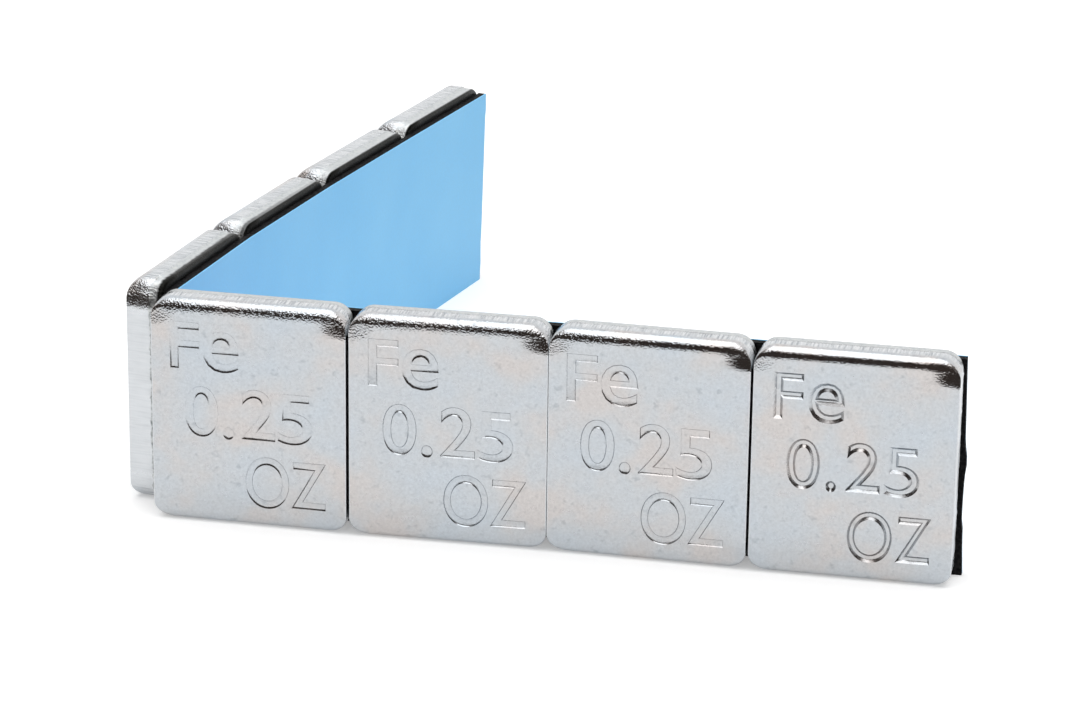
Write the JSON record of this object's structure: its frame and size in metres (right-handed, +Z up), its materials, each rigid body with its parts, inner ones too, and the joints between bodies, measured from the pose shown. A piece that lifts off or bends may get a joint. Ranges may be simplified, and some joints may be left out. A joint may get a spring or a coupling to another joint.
{
  "type": "wheel balance weight",
  "caption": "Strip of plated steel stick-on wheel balance weights on black foam tape with a blue release liner, folded into a V and standing on its long edge.",
  "frame": {"origin": "on the standing surface, midway under the outline of the folded strip", "axes": "+Z up along the plates' width; +X along the front arm, away from the fold; the steel faces of the front arm look towards -Y"},
  "size_m": [0.0688, 0.0678, 0.019],
  "materials": {
    "plated_steel": "bright zinc plating over blanked, tumbled steel",
    "black_foam": "matt closed-cell foam, adhesive on both faces",
    "blue_liner": "smooth satin release film"
  },
  "bodies": {
    "root": {"weight_1": "plated_steel", "weight_2": "plated_steel", "weight_3": "plated_steel", "weight_4": "plated_steel", "weight_5": "plated_steel", "weight_6": "plated_steel", "weight_7": "plated_steel", "weight_8": "plated_steel", "foam_tape": "black_foam", "release_liner": "blue_liner"}
  },
  "joints": []
}
